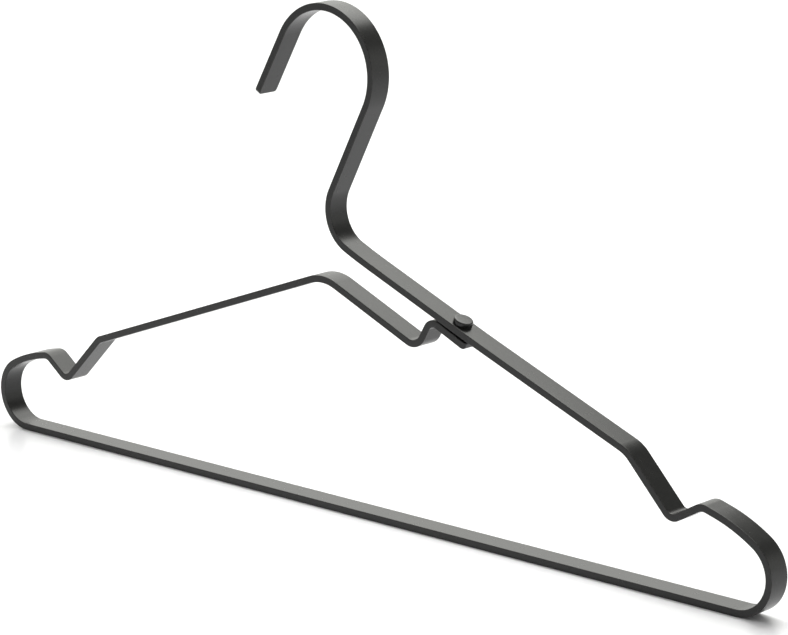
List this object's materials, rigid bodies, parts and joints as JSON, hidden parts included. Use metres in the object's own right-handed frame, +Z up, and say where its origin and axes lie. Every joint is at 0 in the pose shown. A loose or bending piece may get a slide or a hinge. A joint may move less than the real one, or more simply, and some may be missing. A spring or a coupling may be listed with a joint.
{
  "type": "clothes hanger",
  "caption": "Black aluminium clothes hanger bent from flat bar, with an open hook, sloping shoulders with strap notches, a scarf slot and a trouser bar, closed by a button head rivet.",
  "frame": {"origin": "the hook's seat: the highest point of the hook's inside, which rests on a rail, halfway across the bar's width", "axes": "+X along the shoulders, away from the side that the hook opens to; +Y across the width of the flat bar; +Z up, from the bottom bar towards the hook"},
  "size_m": [0.435, 0.01, 0.2118],
  "materials": {
    "satin_black_bar": "satin black anodised",
    "satin_black_rivet": "satin black"
  },
  "bodies": {
    "root": {"bent_bar": "satin_black_bar", "lap_rivet": "satin_black_rivet"}
  },
  "joints": []
}
